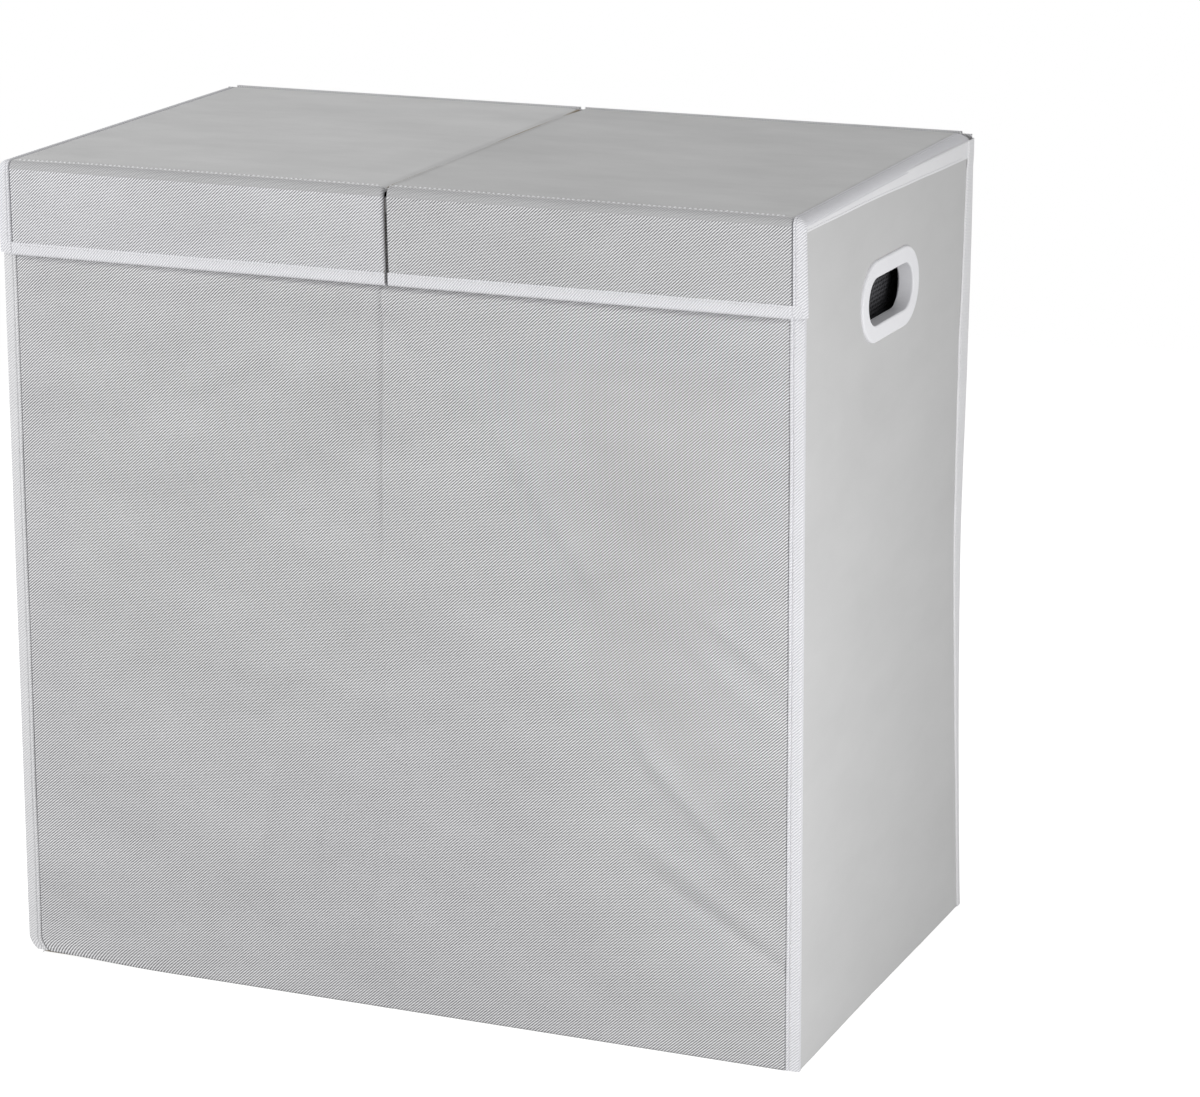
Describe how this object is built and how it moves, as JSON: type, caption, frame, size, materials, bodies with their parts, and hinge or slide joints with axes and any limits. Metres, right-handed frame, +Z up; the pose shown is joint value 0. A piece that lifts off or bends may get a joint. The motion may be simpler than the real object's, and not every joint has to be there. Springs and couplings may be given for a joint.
{
  "type": "laundry hamper",
  "caption": "Laundry hamper: a cloth-covered board box with a divider, hinged lids with front flaps, bound seams, plastic handle rings and lift-out mesh bags.",
  "frame": {"origin": "on the floor, under the middle of the hamper's bounding box", "axes": "+X along the width to the right lid, +Y from the flaps to the lid hinges, +Z up"},
  "size_m": [0.5842, 0.3307, 0.5778],
  "materials": {
    "cover_cloth": "light grey non-woven cloth with a fine slanted emboss, matte",
    "lining_cloth": "plain light grey non-woven cloth, matte",
    "tape": "white woven binding tape, matte",
    "board": "pressed grey cardboard, matte",
    "plastic": "white moulded plastic, softly glossy",
    "bag_mesh": "black open polyester net, matte",
    "webbing": "black woven webbing, matte",
    "hook_tape": "black hook and loop tape, matte"
  },
  "bodies": {
    "casing": {"front_cover": "cover_cloth", "back_cover": "cover_cloth", "floor_cover": "cover_cloth", "inner_lining": "lining_cloth", "divider_board": "board", "divider_sleeve": "lining_cloth", "front_rim_tape": "tape", "front_left_board": "board", "back_left_board": "board", "left_side_cover": "cover_cloth", "left_side_board": "board", "left_rim_tape": "tape", "front_left_seam_tape": "tape", "back_left_seam_tape": "tape", "left_handle_bezel": "plastic", "left_handle_ring": "plastic", "left_base_board": "board", "left_bag_floor": "bag_mesh", "left_bag_mesh": "bag_mesh", "left_bag_hem": "webbing", "left_front_hook_tab": "hook_tape", "left_front_loop_tab": "hook_tape", "left_back_hook_tab": "hook_tape", "left_back_loop_tab": "hook_tape", "front_right_board": "board", "back_right_board": "board", "right_side_cover": "cover_cloth", "right_side_board": "board", "right_rim_tape": "tape", "front_right_seam_tape": "tape", "back_right_seam_tape": "tape", "right_handle_bezel": "plastic", "right_handle_ring": "plastic", "right_base_board": "board", "right_bag_floor": "bag_mesh", "right_bag_mesh": "bag_mesh", "right_bag_hem": "webbing", "right_front_hook_tab": "hook_tape", "right_front_loop_tab": "hook_tape", "right_back_hook_tab": "hook_tape", "right_back_loop_tab": "hook_tape"},
    "left_lid": {"left_lid_cover": "cover_cloth", "left_lid_board": "board", "left_lid_seam_tape": "tape"},
    "left_flap": {"left_flap_cover": "cover_cloth", "left_flap_board": "board", "left_flap_seam_tape": "tape", "left_flap_hem_tape": "tape"},
    "left_front_strap": {"left_front_strap": "webbing"},
    "left_back_strap": {"left_back_strap": "webbing"},
    "right_lid": {"right_lid_cover": "cover_cloth", "right_lid_board": "board", "right_lid_seam_tape": "tape"},
    "right_flap": {"right_flap_cover": "cover_cloth", "right_flap_board": "board", "right_flap_seam_tape": "tape", "right_flap_hem_tape": "tape"},
    "right_front_strap": {"right_front_strap": "webbing"},
    "right_back_strap": {"right_back_strap": "webbing"}
  },
  "joints": [
    {"name": "left_lid_hinge", "type": "hinge", "parent": "casing", "child": "left_lid", "pos_m": [-0.142, 0.1659, 0.57785], "axis": [-1, 0, 0], "range_deg": [0, 270]},
    {"name": "left_flap_hinge", "type": "hinge", "parent": "left_lid", "child": "left_flap", "pos_m": [-0.142, -0.1646, 0.57785], "axis": [-1, 0, 0], "range_deg": [0, 90]},
    {"name": "left_front_strap_swing", "type": "hinge", "parent": "casing", "child": "left_front_strap", "pos_m": [-0.1408, -0.1491, 0.55176], "axis": [1, 0, 0], "range_deg": [0, 90]},
    {"name": "left_back_strap_swing", "type": "hinge", "parent": "casing", "child": "left_back_strap", "pos_m": [-0.1408, 0.1551, 0.55176], "axis": [-1, 0, 0], "range_deg": [0, 90]},
    {"name": "right_lid_hinge", "type": "hinge", "parent": "casing", "child": "right_lid", "pos_m": [0.142, 0.1659, 0.57785], "axis": [-1, 0, 0], "range_deg": [0, 270]},
    {"name": "right_flap_hinge", "type": "hinge", "parent": "right_lid", "child": "right_flap", "pos_m": [0.142, -0.1646, 0.57785], "axis": [-1, 0, 0], "range_deg": [0, 90]},
    {"name": "right_front_strap_swing", "type": "hinge", "parent": "casing", "child": "right_front_strap", "pos_m": [0.1408, -0.1491, 0.55176], "axis": [1, 0, 0], "range_deg": [0, 90]},
    {"name": "right_back_strap_swing", "type": "hinge", "parent": "casing", "child": "right_back_strap", "pos_m": [0.1408, 0.1551, 0.55176], "axis": [-1, 0, 0], "range_deg": [0, 90]}
  ]
}
